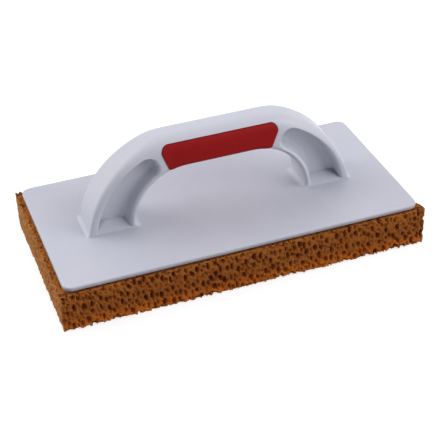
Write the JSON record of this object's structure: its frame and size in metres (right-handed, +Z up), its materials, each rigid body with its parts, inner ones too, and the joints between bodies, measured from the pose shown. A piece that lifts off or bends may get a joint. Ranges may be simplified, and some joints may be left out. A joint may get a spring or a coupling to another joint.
{
  "type": "sponge float",
  "caption": "Grout float: a thick open-cell sponge glued under a flat plastic plate, with an arched bar handle and a soft grip on the bar.",
  "frame": {"origin": "centre of the sponge's working face, which is the underside of the float's box", "axes": "+X along the plate and the handle's bar, +Y across it, +Z up out of the plate"},
  "size_m": [0.28, 0.142, 0.101],
  "materials": {
    "sponge_foam": "open-cell foam, ochre brown",
    "dried_glue": "dried contact glue, dark brown",
    "plate_plastic": "fine satin, pale grey",
    "handle_plastic": "fine satin, pale grey",
    "grip_rubber": "soft-touch, deep red",
    "screw_steel": "zinc plated"
  },
  "bodies": {
    "root": {"sponge": "sponge_foam", "adhesive_film": "dried_glue", "base_plate": "plate_plastic", "handle": "handle_plastic", "soft_grip": "grip_rubber", "handle_screws": "screw_steel"}
  },
  "joints": []
}
